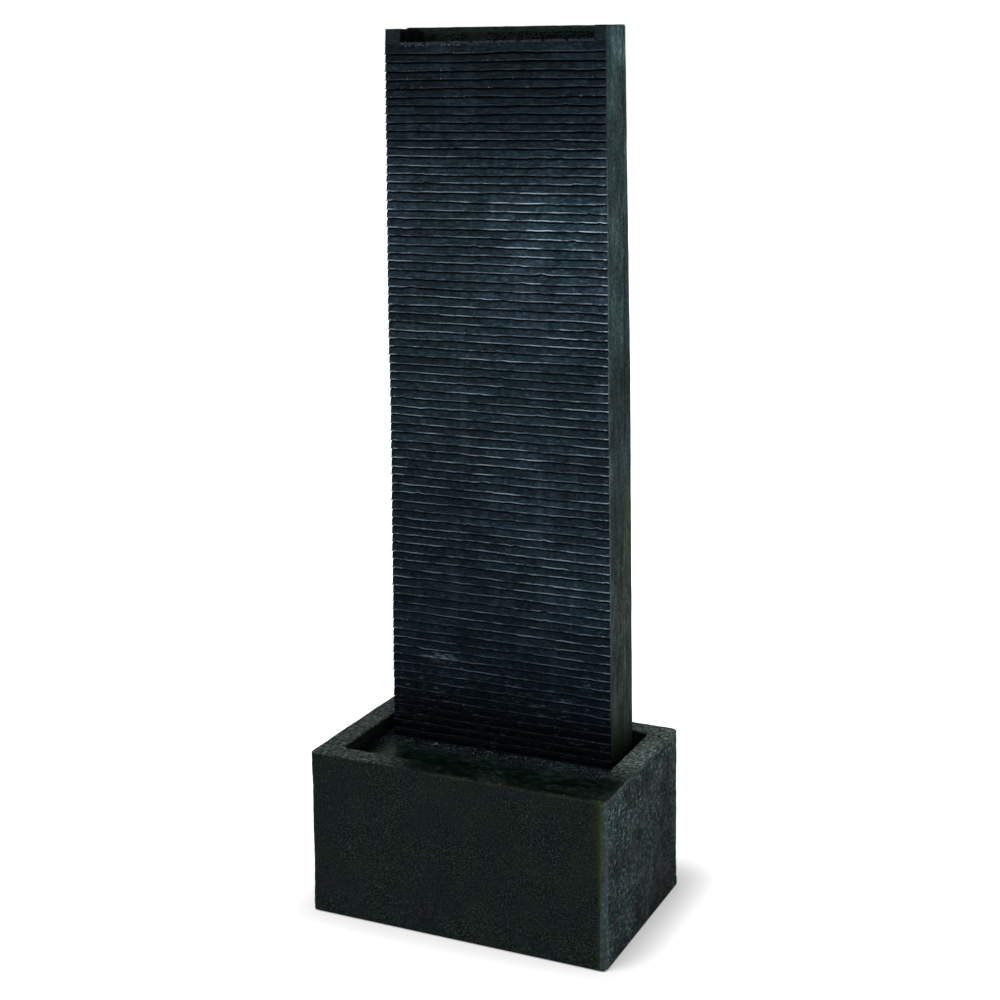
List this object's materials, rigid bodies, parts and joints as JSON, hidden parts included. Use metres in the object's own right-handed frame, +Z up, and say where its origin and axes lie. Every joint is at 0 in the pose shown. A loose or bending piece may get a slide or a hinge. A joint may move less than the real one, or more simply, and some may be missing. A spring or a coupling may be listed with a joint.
{
  "type": "waterfall garden fountain",
  "caption": "Tall hollow slate-look fountain wall standing in an open rectangular basin; pumped water spills over a notched top lip, down stacked ridged courses, into the pool.",
  "frame": {"origin": "centre of the basin's footprint, on the ground", "axes": "+X along the front to the right of someone who faces the falls, +Y towards the back, +Z up"},
  "size_m": [0.42, 0.274, 1.172],
  "materials": {
    "basin_stone": "cast, speckled, damp",
    "wet_slate": "wet, glossy, blue-black",
    "mossy_slate": "damp, green-grey, streaked",
    "tray_resin": "wet, mossy",
    "black_plastic": "moulded, satin",
    "grey_plastic": "moulded, satin",
    "black_rubber": "matte",
    "clear_hose": "soft, hazy",
    "stainless_steel": "satin",
    "white_ceramic": "ground",
    "dark_magnet": "coated"
  },
  "bodies": {
    "fountain": {"basin": "basin_stone", "foot_pad_front_left": "black_rubber", "foot_pad_front_right": "black_rubber", "foot_pad_rear_left": "black_rubber", "foot_pad_rear_right": "black_rubber", "tower_shell": "wet_slate", "rear_panel": "mossy_slate", "rear_panel_screw_1": "stainless_steel", "rear_panel_screw_2": "stainless_steel", "rear_panel_screw_3": "stainless_steel", "rear_panel_screw_4": "stainless_steel", "rear_panel_screw_5": "stainless_steel", "rear_panel_screw_6": "stainless_steel", "top_tray": "tray_resin", "lower_hinge_panel_leaf": "stainless_steel", "lower_hinge_pin": "stainless_steel", "upper_hinge_panel_leaf": "stainless_steel", "upper_hinge_pin": "stainless_steel", "catch_magnet": "black_plastic", "cord_grommet": "black_rubber", "tower_bracket_left": "stainless_steel", "tower_bracket_right": "stainless_steel", "bracket_floor_screw_left": "stainless_steel", "bracket_floor_screw_right": "stainless_steel", "bracket_wall_screw_left": "stainless_steel", "bracket_wall_screw_right": "stainless_steel", "pump_motor_housing": "black_plastic", "pump_suction_foot_1": "black_rubber", "pump_suction_foot_2": "black_rubber", "pump_suction_foot_3": "black_rubber", "pump_suction_foot_4": "black_rubber", "pump_cord_gland": "black_rubber", "pump_volute": "black_plastic", "pump_o_ring": "black_rubber", "pump_shaft": "white_ceramic", "pump_rear_bush": "white_ceramic", "pump_front_bush": "white_ceramic", "pump_strainer": "grey_plastic", "hose_tail": "grey_plastic", "hose_tail_gasket": "black_rubber", "hose_tail_nut": "grey_plastic", "supply_hose": "clear_hose", "lower_hose_clamp": "stainless_steel", "upper_hose_clamp": "stainless_steel", "lower_clamp_screw": "stainless_steel", "upper_clamp_screw": "stainless_steel"},
    "access_door": {"access_door": "mossy_slate", "lower_hinge_door_leaf": "stainless_steel", "upper_hinge_door_leaf": "stainless_steel", "door_knob": "stainless_steel", "door_knob_screw": "stainless_steel", "catch_keeper": "stainless_steel"},
    "drain_plug": {"drain_plug": "black_rubber"},
    "impeller": {"pump_impeller": "grey_plastic", "pump_rotor_magnet": "dark_magnet"},
    "flow_regulator": {"pump_regulator_dial": "grey_plastic", "pump_regulator_shutter": "grey_plastic"}
  },
  "joints": [
    {"name": "access_door_hinge", "type": "hinge", "parent": "fountain", "child": "access_door", "pos_m": [-0.0814, 0.0777, 0.246], "axis": [0, 0, 1], "range_deg": [0, 110]},
    {"name": "drain_plug_pull", "type": "slide", "parent": "fountain", "child": "drain_plug", "axis": [0, 1, 0], "range_m": [0, 0.035]},
    {"name": "impeller_spin", "type": "hinge", "parent": "fountain", "child": "impeller", "pos_m": [0.01, 0.0439, 0.0581], "axis": [1, 0, 0], "continuous": true},
    {"name": "flow_regulator_turn", "type": "hinge", "parent": "fountain", "child": "flow_regulator", "pos_m": [0.0453, 0.0439, 0.0581], "axis": [1, 0, 0], "range_deg": [0, 90]}
  ]
}
